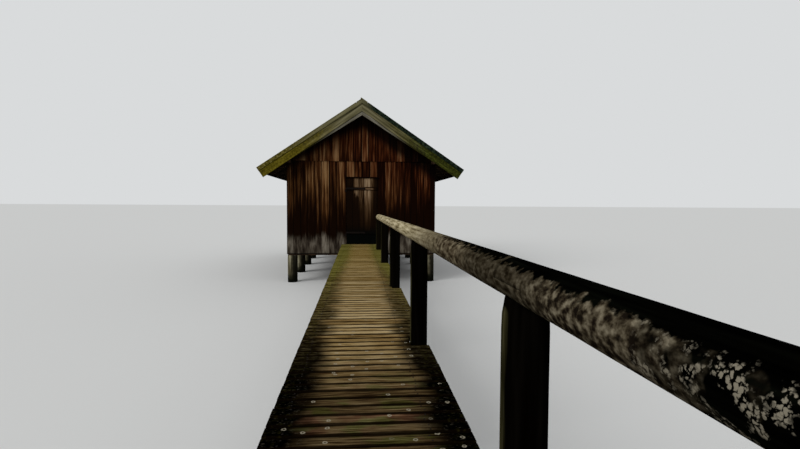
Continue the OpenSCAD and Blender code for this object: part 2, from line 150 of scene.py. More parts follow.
def timber_piece(name, corners, faces, grain, face_place, tones, smooth=()):
    """Makes the piece with its two maps and the tone of each timber."""
    piece = new_piece(name, corners, faces)
    mesh = piece.data
    for layer, values in (("grain", grain), ("face", face_place)):
        mesh.uv_layers.new(name=layer).data.foreach_set("uv", [part for pair in values for part in pair])
    mesh.attributes.new("tone", "FLOAT", "POINT").data.foreach_set("value", tones)
    for face in smooth:
        mesh.polygons[face].use_smooth = True
    shape = bmesh.new()
    shape.from_mesh(mesh)
    if smooth:
        # the ends of logs run to one point, and where they are trimmed some faces shrink to a line
        bmesh.ops.remove_doubles(shape, verts=shape.verts, dist=1e-6)
        bmesh.ops.dissolve_degenerate(shape, dist=1e-6, edges=shape.edges)
    bmesh.ops.recalc_face_normals(shape, faces=shape.faces)
    shape.to_mesh(mesh)
    shape.free()
    return piece


def settle(piece, skin, slot, *nodes, body="boathouse"):
    """Gives a piece its finish, the CAD nodes that it stands for and its body. The slot is not used."""
    piece.data.materials.append(skin)
    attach(piece, body)
    if nodes:
        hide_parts(*nodes)


def dress(skin, *nodes):
    """Gives CAD nodes that stay as they are their finish."""
    for node in nodes:
        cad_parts[node].data.materials.clear()
        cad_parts[node].data.materials.append(skin)


def round_timbers(name, poles, sides=28, step=0.09, wobble=0.05, seed=1):
    """Peeled logs from start to end, each inside its two radii. A log may be trimmed to a shape, and begin
    is its place in the line of logs that it is part of."""
    chance = random.Random(seed)
    corners, faces, grain, face_place, tones, smooth = [], [], [], [], [], []
    for start, end, first_radius, last_radius, trim, begin in poles:
        axis = (end - start).normalized()
        side = axis.orthogonal().normalized()
        other = axis.cross(side)
        length = (end - start).length
        seed_u, seed_v, seed_s = (chance.uniform(0, 40) for _ in range(3))
        tone = chance.random()
        count = max(3, round(length / step))
        knots = [(chance.uniform(0, 15) - begin, chance.uniform(0, math.tau), chance.uniform(0.3, 1.0))
                 for _ in range(24)]
        # each end is closed by three rings that shrink to its middle
        shrinking = (0.0, 0.5, 0.93)
        rings = [(0.0, part) for part in shrinking]
        rings += [(length * ring / count, 1.0) for ring in range(count + 1)]
        rings += [(length, part) for part in reversed(shrinking)]
        first = len(corners)
        for place, part in rings:
            radius = first_radius + (last_radius - first_radius) * place / length
            for turn in range(sides):
                angle = math.tau * turn / sides
                along = begin + place + seed_s
                lump = noise.noise(Vector((math.cos(angle) * 0.9, math.sin(angle) * 0.9, along * 1.1)))
                fine = noise.noise(Vector((math.cos(angle) * 3, math.sin(angle) * 3, along * 5)))
                shape = 1 - wobble * (0.5 + 0.5 * lump) - wobble * 0.3 * (0.5 + 0.5 * fine)
                for knot_at, knot_turn, swell in knots:
                    gap = abs((angle - knot_turn + math.pi) % math.tau - math.pi)
                    shape += wobble * 0.5 * swell * math.exp(-((place - knot_at) / 0.05) ** 2 - (gap / 0.35) ** 2)
                out = radius * min(shape, 1.0) * part
                spot = start + axis * place + (side * math.cos(angle) + other * math.sin(angle)) * out
                corners.append(trim(spot) if trim else spot)
                tones.append(tone)
        for ring in range(len(rings) - 1):
            for turn in range(sides):
                after = (turn + 1) % sides
                low, high = first + ring * sides, first + (ring + 1) * sides
                faces.append((low + turn, low + after, high + after, high + turn))
                if len(shrinking) <= ring < len(rings) - len(shrinking) - 1:
                    smooth.append(len(faces) - 1)
                for step_on, level in ((turn, ring), (turn + 1, ring), (turn + 1, ring + 1), (turn, ring + 1)):
                    place, part = rings[level]
                    grain.append((step_on / sides * math.tau * 0.07 + seed_u,
                                  begin + place + seed_v + (1 - part) * radius))
                    face_place.append((step_on / sides, place / length))
    return timber_piece(name, corners, faces, grain, face_place, tones, smooth)


# the settings of a step with soft ends, and of a blend of two colours
soft, blend = {"interpolation_type": "SMOOTHSTEP"}, {"out": 2, "data_type": "RGBA"}
# weathered softwood: dull, so that only its streaks and cracks catch the eye
softwood = Timber("weathered_softwood_pile", 0.012, 0.05, 26, relief=0.002)
skin = softwood.skin
colour = add(skin, "ValToRGB", [softwood.streaks], (
    (0.30, "#2b2619"), (0.46, "#5c5641"), (0.60, "#847e67"), (0.75, "#a19b84")))
cracks = add(skin, "MapRange", [softwood.fibres, 0.36, 0.28])
# painted shade: the side away from the light (+x) is painted black
dark_sides = add(skin, "MapRange", [(softwood.out_x, (softwood.patches(0.08), 0.5)), -0.25, 0.55, 0, 0.92], **soft)
wet_foot = add(skin, "MapRange", [(softwood.z, (softwood.patches(0.12), 0.3)), 0.46, 0.24], **soft)
for share, over in ((cracks, "#120e0a"), (dark_sides, "#0b0a07"), (wet_foot, "#11120b")):
    colour = add(skin, "Mix", {0: share, 6: colour, 7: over}, **blend)
pile_skin = link(skin, colour)
settle(round_timbers("hut_piles_round", [
    (Vector((x, y, 0)), Vector((x, y, pile_top)), pile_radius, pile_radius, None, 0)
    for y in pile_rows for x in (-pile_across, 0, pile_across)], seed=3), pile_skin, "pile_timber", "hut_piles")


# Cap beams, floor joists and the frame of the hut: square spruce from the saw, never painted.
# Indoors it has gone brown, with darker streaks along the grain.
def sawn_spruce(lie):
    wood = Timber("sawn_spruce_" + lie.lower(), 0.006, 0.035, 20, lie=lie)
    aged = add(wood.skin, "ValToRGB", [wood.streaks], (
        (0.30, "#1d1510"), (0.48, "#3a2c20"), (0.62, "#54422f"), (0.78, "#6a5640")))
    pores = add(wood.skin, "MapRange", [wood.fibres, 0.42, 0.30])
    return link(wood.skin, add(wood.skin, "Mix", {0: pores, 6: aged, 7: "#120d09"}, **blend))


spruce = {lie: sawn_spruce(lie) for lie in "XYZ"}
dress(spruce["X"], "cap_beams", "tie_beams", "rafters_left", "rafters_right")
dress(spruce["Y"], "floor_joists", "wall_rails", "wall_plates", "ridge_purlin")
dress(spruce["Z"], "wall_posts", "king_posts")


# Floor: sawn boards nailed across the joists, brown-grey from wet gear and boots.
# They are laid wall to wall with narrow gaps.
def sawn_boards(name, cuts, arris=0.003, stations=2, wander=0.0015, seed=1):
    """Boards with broken edges. A cut is a corner, the ways along, across and through the board, and a
    dict: start and end skew its two ends, widen is the far width's share of the near one."""
    chance = random.Random(seed)
    corners, faces, grain, face_place, tones = [], [], [], [], []
    for *edges, more in cuts:
        corner, along, across, thick = map(Vector, edges)
        length, width, depth = along.length, across.length, thick.length
        way, over, through = along / length, across / width, thick / depth
        edge = min(arris, width * 0.3, depth * 0.3)
        section = ((edge, 0), (width - edge, 0), (width, edge), (width, depth - edge),
                   (width - edge, depth), (edge, depth), (0, depth - edge), (0, edge))
        girth = [0.0]
        for spot, after in zip(section, section[1:] + section[:1]):
            girth.append(girth[-1] + math.dist(spot, after))
        seed_u, seed_v, tone = chance.uniform(0, 60), chance.uniform(0, 60), chance.random()
        count = more.get("stations", stations)
        first = len(corners)
        for station in range(count + 1):
            share = station / count
            bow, sway = chance.uniform(-wander, wander), chance.uniform(-wander, wander) * 0.5
            wide = 1 + (more.get("widen", 1) - 1) * share
            for aside, deep in section:
                aside *= wide
                place = (more.get("start", 0) * aside * (1 - share)
                         + (length + more.get("end", 0) * aside) * share)
                corners.append(corner + way * place + over * (aside + sway) + through * (deep + bow))
                tones.append(more.get("tone", tone))
        for station in range(count):
            for spot in range(8):
                after = (spot + 1) % 8
                low, high = first + station * 8, first + (station + 1) * 8
                faces.append((low + spot, low + after, high + after, high + spot))
                for turn, at, level in ((spot, spot, 0), (spot + 1, after, 0), (spot + 1, after, 1), (spot, spot, 1)):
                    share = (station + level) / count
                    grain.append((girth[turn] + seed_u, share * length + seed_v))
                    face_place.append((section[at][0] / width, share))
        for level, order in ((first, range(7, -1, -1)), (first + count * 8, range(8))):
            faces.append([level + spot for spot in order])
            for spot in order:
                grain.append((section[spot][0] + seed_u, section[spot][1] + seed_v))
                face_place.append((section[spot][0] / width, 0 if level == first else 1))
    return timber_piece(name, corners, faces, grain, face_place, tones)


def widths(low, high, least, most, chance):
    """The edges of boards from low to high, each board between least and most wide, as pairs."""
    marks = [low]
    while high - marks[-1] > most:
        marks.append(marks[-1] + chance.uniform(least, most))
    if high - marks[-1] < least * 0.6:
        marks.pop()
    return list(zip(marks, marks[1:] + [high]))


# trodden spruce: brown-grey, some boards darker than others
trodden = Timber("trodden_spruce_floor", 0.006, 0.04)
skin = trodden.skin
floor_skin = link(skin, add(skin, "ValToRGB", [(trodden.streaks, (trodden.tone, 0.3))], (
    (0.35, "#2a2018"), (0.60, "#4c3e2e"), (0.80, "#6b5a45"), (0.95, "#7d6c56"))))
floor_low, floor_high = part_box("floor_boards")
settle(sawn_boards("floor_boards_laid", [
    ((floor_low.x, near + 0.001, floor_low.z), (floor_high.x - floor_low.x, 0, 0), (0, far - near - 0.002, 0),
     (0, 0, floor_high.z - floor_low.z), {})
    for near, far in widths(floor_low.y, floor_high.y, 0.11, 0.16, random.Random(11))], wander=0.0008, seed=11),
    floor_skin, "floor_timber", "floor_boards")


# Wall boarding: upright sawn boards, brushed with wood tar and nailed to the rails of the frame.
# The tar has weathered off in long soft streaks down to the brown wood, and waves wet the boards' feet.
front_y, wall_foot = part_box("front_wall_left")[0].yz
rear_y, side_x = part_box("rear_wall")[1].y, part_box("right_wall")[1].x
pitch = math.radians(34)
ridge_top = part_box("barge_board_front_left")[1].z
tarred = Timber("tarred_spruce_boards", 0.011, 0.062, 30, relief=0.0015)
skin = tarred.skin
# bare: how far the tar has gone, more on some boards, higher up, towards the left (-x) and on the
# gable, and less by the corners of the hut
high_up = add(skin, "MapRange", [tarred.z, 1.35, 2.75], **soft)
left_to_right = add(skin, "MapRange", [tarred.x, -1.0, 1.2, -0.4])
on_gable = add(skin, "MapRange", [tarred.z, 3.40, 3.55, 0, 0.04])
corner = add(skin, "MapRange", [tarred.from_middle, 1.70, 2.05])
bare = (-0.47, (tarred.streaks, 1.0), (tarred.tone, 0.34), (tarred.fibres, 0.24), (high_up, 0.32),
        (left_to_right, -0.125), (on_gable, 1.0), (corner, -0.09))
tar = add(skin, "ValToRGB", [bare], (
    (0.42, "#120601"), (0.54, "#261407"), (0.64, "#432811"), (0.76, "#6a4a2c"), (0.90, "#93734a")))
# towards the other side and on the gable it is redder
red_tar = add(skin, "ValToRGB", [bare], (
    (0.42, "#120400"), (0.54, "#270e04"), (0.64, "#44200d"), (0.76, "#664026"), (0.90, "#876546")))
redder = add(skin, "MapRange", [(tarred.z, (tarred.patches(0.5), 0.7), (tarred.x, 0.5)), 2.4, 4.1])
# painted shade: close under the roof the boards are painted black for the roof's shadow, in a band that is
# wider in the middle and on the shaded side
painted_shade_left_eaves = add(skin, "MapRange", [tarred.x, -0.9, -2.1, 0, 0.30])
from_ridge = (tarred.z, (tarred.from_middle, math.tan(pitch) - 0.11), (tarred.x, 0.13), (painted_shade_left_eaves, 1.0),
              (tarred.streaks, 0.25))
painted_roof_shade = add(skin, "MapRange", [from_ridge, ridge_top - 0.75, ridge_top - 0.43, 0, 0.92], **soft)
# dark joints, where water runs between the boards
joint = add(skin, "MapRange", [tarred.edge, 0.40, 0.5, 0, 0.8])
# grey washed feet, up to a ragged line about half a metre above the boards' ends
line = (tarred.z, (tarred.tone, -0.12), (tarred.streaks, -0.40), (tarred.patches(0.30, 3.0, (1, 1, 0.5)), -0.35))
washed = add(skin, "MapRange", [line, wall_foot + 0.19, wall_foot - 0.10, 0, 0.95], **soft)
mottle = (-0.10, (tarred.patches(0.14, 3.0, (1, 1, 0.35)), 0.7), (tarred.tone, 0.20), (tarred.fibres, 0.55))
grey = add(skin, "ValToRGB", [mottle], (
    (0.42, "#17120d"), (0.54, "#342c24"), (0.66, "#585045"), (0.80, "#80786b")))
# painted shade: their sawn ends are painted black, for the shade under the wall's foot
painted_foot_shade = add(skin, "MapRange", [tarred.z, wall_foot + 0.045, wall_foot + 0.025, 0, 0.9])
boards = tar
for share, over in ((redder, red_tar), (painted_roof_shade, "#070302"), (joint, "#050201"), (washed, grey),
                    (painted_foot_shade, "#080605")):
    boards = add(skin, "Mix", {0: share, 6: boards, 7: over}, **blend)
tar_skin = link(skin, boards)

nail_spots = []
board_thick, nail_in = 0.0205, 0.03


def boarded_wall(name, spans, foot, top, place, seed, tones=(), slot="wall_boarding", nail_heights=()):
    """Upright boards in one wall. place turns a distance along it and a depth into a point."""
    chance = random.Random(seed)
    cuts = []
    for low, high in spans:
        for near, far in widths(low, high, 0.165, 0.225, chance):
            inwards = (place(near, 1) - place(near, 0)).normalized()
            shift = chance.choice((0.0, 0.0, 0.002, 0.0035)) + 0.002
            start = place(near + 0.0003, shift)
            across = place(far - 0.0003, shift) - start
            low_end = foot + chance.uniform(0.0, 0.016)
            near_top, far_top = (top(near), top(far)) if callable(top) else (top, top)
            more = {"end": (far_top - near_top) / across.length}
            if tones:
                more["tone"] = tones[len(cuts) % len(tones)]
            cuts.append((start + Vector((0, 0, low_end)), (0, 0, near_top - low_end), across,
                         inwards * board_thick, more))
            nail_spots.extend((place(aside, shift) + Vector((0, 0, height)), -inwards)
                              for aside in (near + nail_in, far - nail_in) for height in nail_heights
                              if foot < height < min(near_top, far_top))
    settle(sawn_boards(name + "_boards", cuts, arris=0.004, stations=4, wander=0.002, seed=seed),
           tar_skin, slot, name)


# the heights of the wall rails, which the nails go into
rails_at = (wall_foot + 0.19, 2.17, 3.385)


def on_front(aside, deep):
    return Vector((aside, front_y + deep, 0))


for seed, (name, place, tones) in enumerate((
        ("front_wall_left", on_front, ()), ("front_wall_right", on_front, ()),
        ("front_wall_over_door", on_front, (0.8, 0.35, 0.15, 0.9)), ("front_wall_under_door", on_front, ()),
        ("rear_wall", lambda aside, deep: Vector((aside, rear_y - deep, 0)), ()),
        ("left_wall", lambda aside, deep: Vector((deep - side_x, aside, 0)), ()),
        ("right_wall", lambda aside, deep: Vector((side_x - deep, aside, 0)), ())), 21):
    low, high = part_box(name)
    wide = 0 if high.x - low.x > high.y - low.y else 1
    boarded_wall(name, [(low[wide], high[wide])], low.z, high.z, place, seed, tones, nail_heights=rails_at)


# Gable boarding: a second tier of the same tarred boards, packed out by one board.
# It laps the wall boards at the seam, so that rain drips clear, and is cut to the roof's slope.
gable_low, gable_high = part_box("front_gable")
rear_gable_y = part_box("rear_gable")[1].y
# the underside of the roof boards, square to the slope
roof_depth = 0.069 / math.cos(pitch)


def under_the_roof(aside):
    return ridge_top - roof_depth - abs(aside) * math.tan(pitch)


for name, seed, place in (("front_gable", 31, lambda aside, deep: Vector((aside, gable_low.y + deep, 0))),
                          ("rear_gable", 32, lambda aside, deep: Vector((aside, rear_gable_y - deep, 0)))):
    boarded_wall(name, [(gable_low.x, 0), (0, gable_high.x)], gable_low.z, under_the_roof, place, seed,
                 slot="gable_boarding", nail_heights=(gable_low.z + 0.075,))


# Roof boards: sawn boards nailed along the roof on the rafters, seen from below at the verges.
# They are dark with age and damp, and painted darker still as the shade under the roof.
verge_low, verge_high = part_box("roof_boards_right")
roof_length = verge_high.y - verge_low.y
slope_length = (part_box("barge_board_front_right")[1].x - 0.005) / math.cos(pitch)


def on_slope(hand, run, drop, y):
    """A point on the left (-1) or right (1) slope: metres down from the ridge and under the covering."""
    return Vector((hand * (run * math.cos(pitch) - drop * math.sin(pitch)), y,
                   ridge_top - run * math.sin(pitch) - drop * math.cos(pitch)))


# painted shade: the boards are painted near black for the shade under the roof, with only a brown streak here and
# there
roof_wood_painted_shade = Timber("dark_roof_boards_painted_shade", 0.006, 0.035, 20, lie="Y")
roof_skin_painted_shade = link(roof_wood_painted_shade.skin, add(roof_wood_painted_shade.skin, "ValToRGB", [roof_wood_painted_shade.streaks], (
    (0.30, "#060403"), (0.50, "#0e0a07"), (0.66, "#1b140d"), (0.82, "#2c2218"))))
slopes = [(hand, name, Vector((hand * math.cos(pitch), 0, -math.sin(pitch))),
           Vector((-hand * math.sin(pitch), 0, -math.cos(pitch)))) for hand, name in ((-1, "left"), (1, "right"))]
sheath_drop, sheath_thick = 0.0455, 0.0215
for hand, side_name, down, under in slopes:
    settle(sawn_boards(f"roof_boards_{side_name}_laid", [
        (on_slope(hand, near + 0.001, sheath_drop, verge_low.y), (0, roof_length, 0), down * (far - near - 0.002),
         under * sheath_thick, {})
        for near, far in widths(0.06, slope_length - 0.037, 0.12, 0.17, random.Random(41 + hand))],
        wander=0.0, stations=3, seed=43 + hand), roof_skin_painted_shade, "roof_boarding", f"roof_boards_{side_name}")

# a board on the plumb ends of the rafters closes each eaves
tail, tail_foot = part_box("rafters_right")[1].x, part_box("rafters_right")[0].z
eaves_top = ridge_top - (tail + 0.022) * math.tan(pitch) - roof_depth
for hand, side_name, down, under in slopes:
    settle(sawn_boards(f"eaves_board_{side_name}", [
        ((hand * (tail + 0.001), verge_low.y + 0.002, tail_foot - 0.004), (0, roof_length - 0.004, 0),
         (0, 0, eaves_top - tail_foot + 0.004), (hand * 0.019, 0, 0), {})], wander=0.0, stations=6, seed=47 + hand),
        roof_skin_painted_shade, "roof_boarding")


# Shingles: split larch laid in lapped courses, their butts a little uneven.
# They are grey, with moss in the joints and towards the eaves.
larch = Timber("weathered_larch_shingles", 0.005, 0.03, 16)
skin = larch.skin
split = add(skin, "ValToRGB", [(larch.streaks, (larch.tone, 0.6))], (
    (0.42, "#24231d"), (0.68, "#45433a"), (0.90, "#5f5c50"), (1.0, "#787466")))
moss = add(skin, "MapRange", [(larch.patches(0.35, 5.0), (larch.z, -0.09)), 0.16, 0.28, 0, 0.85], **soft)
larch_skin = link(skin, add(skin, "Mix", {0: moss, 6: split, 7: "#3c4018"}, **blend))
shingle, gauge, butt_gap = 0.34, 0.16, 0.0015
for hand, side_name, down, under in slopes:
    chance = random.Random(51 + hand)
    # the layers below the top one are one sheet
    cuts = [(on_slope(hand, 0.035, 0.030, verge_low.y), (0, roof_length, 0), down * (slope_length - 0.07),
             under * 0.0145, {"stations": 1})]
    butt = slope_length - 0.002
    while butt > 0.1:
        length = min(shingle, butt - 0.01)
        for near, far in widths(verge_low.y, verge_high.y, 0.08, 0.15, chance):
            lean = (down * length - under * 0.022).normalized() * (length - chance.uniform(0, 0.012))
            cuts.append((on_slope(hand, butt - length, 0.024, near + butt_gap), lean,
                         (0, far - near - 2 * butt_gap, 0), under * chance.uniform(0.009, 0.013), {"stations": 1}))
        butt -= gauge
    settle(sawn_boards(f"shingles_{side_name}_laid", cuts, arris=0.0015, wander=0.0006, seed=53 + hand),
           larch_skin, "shingles", f"shingles_{side_name}")


# Verges and ridge: a barge board on each slope of each gable, a paler board behind its lower edge,
# a batten along its upper edge, and capping boards over the verge and the ridge, all of spruce.
# Moss and algae grow on them, thickest towards the eaves, and on the right (+x) the moss is painted darker as shade.
mossy = Timber("mossy_spruce_verge", 0.010, 0.05, 30, relief=0.002)
skin = mossy.skin
dry = add(skin, "ValToRGB", [mossy.streaks], (
    (0.28, "#34311f"), (0.45, "#5c573c"), (0.62, "#7b7558"), (0.80, "#958f74")))
eaves = add(skin, "MapRange", [(mossy.from_middle, (mossy.patches(0.30, 4.0), 1.1)), 0.9, 2.4], **soft)
growth = (0.0, (mossy.streaks, 0.5), (mossy.patches(0.05), 0.5))
sunny_moss = add(skin, "ValToRGB", [growth], (
    (0.34, "#2f2a06"), (0.48, "#534a10"), (0.60, "#6c611c"), (0.74, "#857a38")))
# painted shade: a darker copy of the moss, blended in towards the right (+x)
moss_in_painted_shade = add(skin, "ValToRGB", [growth], (
    (0.34, "#161708"), (0.48, "#2e300f"), (0.60, "#434718"), (0.74, "#5c6029")))
shade = add(skin, "MapRange", [mossy.x, 0.0, 1.6])
moss = add(skin, "Mix", {0: shade, 6: sunny_moss, 7: moss_in_painted_shade}, **blend)
mossy_skin = link(skin, add(skin, "Mix", {0: eaves, 6: dry, 7: moss}, **blend))

# mossy batten: a bright line along the roof's edge towards the sun, and dark green on the other slope
batten = Timber("mossy_spruce_batten", 0.010, 0.05, 30, relief=0.002)
skin = batten.skin
colour = add(skin, "ValToRGB", [batten.streaks], ((0.30, "#4d4930"), (0.50, "#6f6a4b"), (0.75, "#918b6c")))
brown = add(skin, "ValToRGB", [batten.patches(0.05)], ((0.35, "#3f3a10"), (0.52, "#5f5622"), (0.72, "#7f7544")))
green = add(skin, "ValToRGB", [batten.patches(0.06)], ((0.35, "#0e130d"), (0.55, "#1d271d"), (0.75, "#36402c")))
for first, last, over in ((-1.0, -2.1, brown), (-0.1, 0.3, green)):
    share = add(skin, "MapRange", [batten.x, first, last])
    colour = add(skin, "Mix", {0: share, 6: colour, 7: over}, **blend)
batten_skin = link(skin, colour)

# bleached board: pale grey near the ridge, where the roof keeps the moss off it
bleached = Timber("bleached_spruce_board", 0.010, 0.04, 30)
skin = bleached.skin
pale = add(skin, "ValToRGB", [bleached.streaks], (
    (0.28, "#4a463a"), (0.46, "#716c5e"), (0.62, "#8f8b7d"), (0.80, "#a8a497")))
from_ridge = add(skin, "MapRange", [bleached.from_middle, 0.3, 1.3])
bleached_skin = link(skin, add(skin, "Mix", {0: from_ridge, 6: pale, 7: "#2d2a12"}, **blend))

skew = math.tan(pitch)
for gable, face_y, out in (("front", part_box("barge_board_front_left")[1].y, -1),
                           ("rear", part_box("barge_board_rear_left")[0].y, 1)):
    for hand, side_name, down, under in slopes:
        for name, near_face, thick, drop, depth, foot_depth, run_end, verge_skin in (
                ("barge_board", 0.010, 0.020, 0.0, 0.262, 0.289, slope_length, mossy_skin),
                ("verge_board", 0.0, 0.0095, 0.19, 0.158, 0.075, slope_length - 0.01, bleached_skin),
                ("verge_batten", 0.0302, 0.0206, 0.0, 0.085, 0.080, slope_length, batten_skin)):
            piece = sawn_boards(f"{name}_{gable}_{side_name}_sawn", [
                (on_slope(hand, drop * skew, drop, face_y + out * near_face), down * (run_end - drop * skew),
                 under * depth, (0, out * thick, 0), {"start": skew, "widen": foot_depth / depth, "stations": 10})],
                arris=0.004, wander=0.0012, seed=61 + hand)
            stands_for = [f"barge_board_{gable}_{side_name}"] if name == "barge_board" else []
            settle(piece, verge_skin, "barge_boards", *stands_for)

cap_low, cap_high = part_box("verge_caps")
cap_wide, ridge_wide, cap_thick, cap_seat, cap_start = 0.150, 0.170, 0.0235, -0.0005, 0.188
third = (cap_high.y - cap_low.y) / 3
cap_cuts, ridge_cuts = [], []
for hand, side_name, down, under in slopes:
    for near in (cap_low.y, cap_high.y - cap_wide):
        cap_cuts.append((on_slope(hand, cap_start, cap_seat, near), down * (slope_length - cap_start),
                         (0, cap_wide, 0), -under * cap_thick, {"stations": 8}))
    # the right ridge boards stand past the ridge, and the left ones butt against them
    upper = 0.026 if hand < 0 else -0.050
    for near in (0, third, 2 * third):
        ridge_cuts.append((on_slope(hand, upper, cap_seat, cap_low.y + near), (0, third - 0.003, 0),
                           down * (ridge_wide - upper), -under * cap_thick, {"stations": 5}))
settle(sawn_boards("verge_cap_boards", cap_cuts, wander=0.0, seed=71), batten_skin, "capping_boards", "verge_caps")
settle(sawn_boards("ridge_cap_boards", ridge_cuts, wander=0.0, seed=72), mossy_skin, "capping_boards", "ridge_cap")


# Door: upright boards nailed to two ledges, with a drip board over the doorway.
# The boards are worn pale at the top and in the middle, and green-black with wet at the foot.
leaf_low, leaf_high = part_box("door_leaf")
door = Timber("worn_door_boards", 0.008, 0.036, 30, relief=0.0015)
skin = door.skin
high_up = add(skin, "MapRange", [door.z, 1.50, 2.80, 0.28, 0.90], **soft)
# below the upper ledge the pale part is narrower, from a line that its streaks make ragged
below = add(skin, "MapRange", [(door.z, (door.streaks, 0.9)), 3.03, 2.88])
from_centre = add(skin, "Math", [(-0.055, (door.x, 1.0), (below, -0.055))], operation="ABSOLUTE")
centre = add(skin, "MapRange", [(from_centre, (below, 0.075)), 0.31, 0.24, 0.30, 1.0], **soft)
bare = (-0.28, (door.streaks, 1.5), (door.tone, 0.36))
for part in (high_up, centre):
    bare = add(skin, "Math", [bare, part], operation="MULTIPLY")
colour = add(skin, "ValToRGB", [bare], (
    (0.14, "#130903"), (0.30, "#27180b"), (0.46, "#46321f"), (0.62, "#6d553d"), (0.80, "#957d61")))
wet = add(skin, "MapRange", [door.z, 1.68, 1.30], **soft)
joint = add(skin, "MapRange", [door.edge, 0.42, 0.5, 0, 0.7])
for share, over in ((wet, "#030504"), (joint, "#060403")):
    colour = add(skin, "Mix", {0: share, 6: colour, 7: over}, **blend)
door_skin = link(skin, colour)
leaf_wide, leaf_thick, ledge_high = leaf_high.x - leaf_low.x, 0.025, 0.090
leaf_marks = [leaf_low.x + leaf_wide * part for part in (0, 0.19, 0.40, 0.58, 0.80, 1)]
leaf_front = leaf_high.y - leaf_thick
cuts = [((near + 0.0002, leaf_front, leaf_low.z), (0, 0, leaf_high.z - leaf_low.z), (far - near - 0.0004, 0, 0),
         (0, leaf_thick, 0), {"tone": tone})
        for near, far, tone in zip(leaf_marks, leaf_marks[1:], (0.2, 0.75, 0.1, 0.9, 0.45))]
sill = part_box("front_wall_under_door")[1].z
ledges_at = (sill + 0.330, sill + 1.575)
cuts += [((leaf_low.x + 0.015, leaf_low.y, height - ledge_high / 2), (leaf_wide - 0.03, 0, 0), (0, 0, ledge_high),
          (0, leaf_front - leaf_low.y - 0.0005, 0), {"tone": -0.15}) for height in ledges_at]
settle(sawn_boards("door_leaf_boards", cuts, arris=0.004, stations=4, wander=0.0, seed=81), door_skin,
       "door_boards", "door_leaf", body="door")
drip_low, drip_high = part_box("door_drip_board")
drip = drip_high - drip_low
settle(sawn_boards("door_drip_board_sawn", [(drip_low, (drip.x, 0, 0), (0, drip.y, 0), (0, 0, drip.z), {})],
                   arris=0.005, stations=5, wander=0.0, seed=83), tar_skin, "door_boards", "door_drip_board")


# Straps and hooks of the door, and the nails: forged iron, bent hot round the pins and nailed on.
# It has rusted to a dark brown skin that is rough to the touch.
forged = new_finish("rusted_forged_iron", 0.8, 0.1)
forged.node_tree.nodes["Principled BSDF"].inputs["Metallic"].default_value = 0.1
rust = add(forged, "TexNoise", {"Vector": add(forged, "TexCoord", out="Object"), "Scale": 90.0, "Detail": 5.0})
link(forged, add(forged, "ValToRGB", [rust], ((0.35, "#060404"), (0.52, "#100a07"), (0.70, "#1f120b"))))
link(forged, add(forged, "Bump", {"Height": rust, "Distance": 0.0006}), "Normal")
dress(forged, "door_straps", "hinge_hooks")


def nail_heads(name, spots, radius, rise, sides=8):
    """Low domed heads on a surface. A spot is a point on it and the way out of it."""
    corners, faces = [], []
    for spot, way in spots:
        side = way.orthogonal().normalized()
        other = way.cross(side)
        first = len(corners)
        for share, lift in ((1.0, 0.0), (0.9, 0.6), (0.5, 1.0)):
            corners += [spot + way * rise * lift + (side * math.cos(math.tau * turn / sides)
                        + other * math.sin(math.tau * turn / sides)) * radius * share for turn in range(sides)]
        for ring in (0, sides):
            faces += [(first + ring + turn, first + ring + (turn + 1) % sides,
                       first + ring + sides + (turn + 1) % sides, first + ring + sides + turn)
                      for turn in range(sides)]
        faces.append([first + 2 * sides + turn for turn in range(sides)])
    return new_piece(name, corners, faces)


outwards = Vector((0, -1, 0))
settle(nail_heads("wall_nails", nail_spots, 0.005, 0.0018), forged, "ironwork")
strap_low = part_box("door_straps")[0]
door_spots = [(Vector((x, leaf_low.y, height + lift)), outwards) for x in leaf_marks[1:-1] for height in ledges_at
              for lift in (-0.034, 0.034)]
door_spots += [(Vector((strap_low.x + along, strap_low.y, height)), outwards) for height in ledges_at
               for along in (0.10, 0.26, 0.42, 0.52)]
settle(nail_heads("door_nails", door_spots, 0.006, 0.003), forged, "ironwork", body="door")


# Understructure of the jetty: two stringers on pairs of clamping beams, which are let into the piles
# and held to them by threaded bolts. Square spruce, dark with wet; the short piles end below the deck.
deck_low, deck_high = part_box("deck_bay_1")
deck_left, deck_right, deck_top = deck_low.x, deck_high.x, deck_high.z
post_radius = 0.074
rail_x = deck_right - post_radius
post_runs = (1.455, 4.169, 6.883, 9.597, 12.183, 14.769)
post_places = [front_y - run for run in post_runs]
pile_x = deck_left + 0.100
clamp_low, clamp_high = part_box("clamp_beams")
dress(spruce["Y"], "stringers")
dress(spruce["X"], "clamp_beams")
short_radius, first_bent = 0.080, 0.26
bent_piles = [(x, front_y - first_bent) for x in (pile_x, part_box("jetty_piles")[1].x - short_radius)]
bent_piles += [(pile_x, y) for y in post_places]
settle(round_timbers("jetty_piles_round", [
    (Vector((x, y, 0)), Vector((x, y, clamp_high.z)), short_radius, short_radius, None, 0)
    for x, y in bent_piles], seed=5),
    pile_skin, "pile_timber", "jetty_piles")
bolt_out = 0.1215
bolts = [(Vector((x, y + hand * bolt_out, (clamp_low.z + clamp_high.z) / 2)), Vector((0, hand, 0)))
         for x, y in bent_piles + [(rail_x, y) for y in post_places] for hand in (-1, 1)
         if y + hand * 0.14 > clamp_low.y]
settle(nail_heads("clamp_washers", bolts, 0.026, 0.005, 16), forged, "ironwork")
settle(nail_heads("clamp_nuts", [(spot + way * 0.0045, way) for spot, way in bolts], 0.016, 0.014, 6), forged,
       "ironwork")


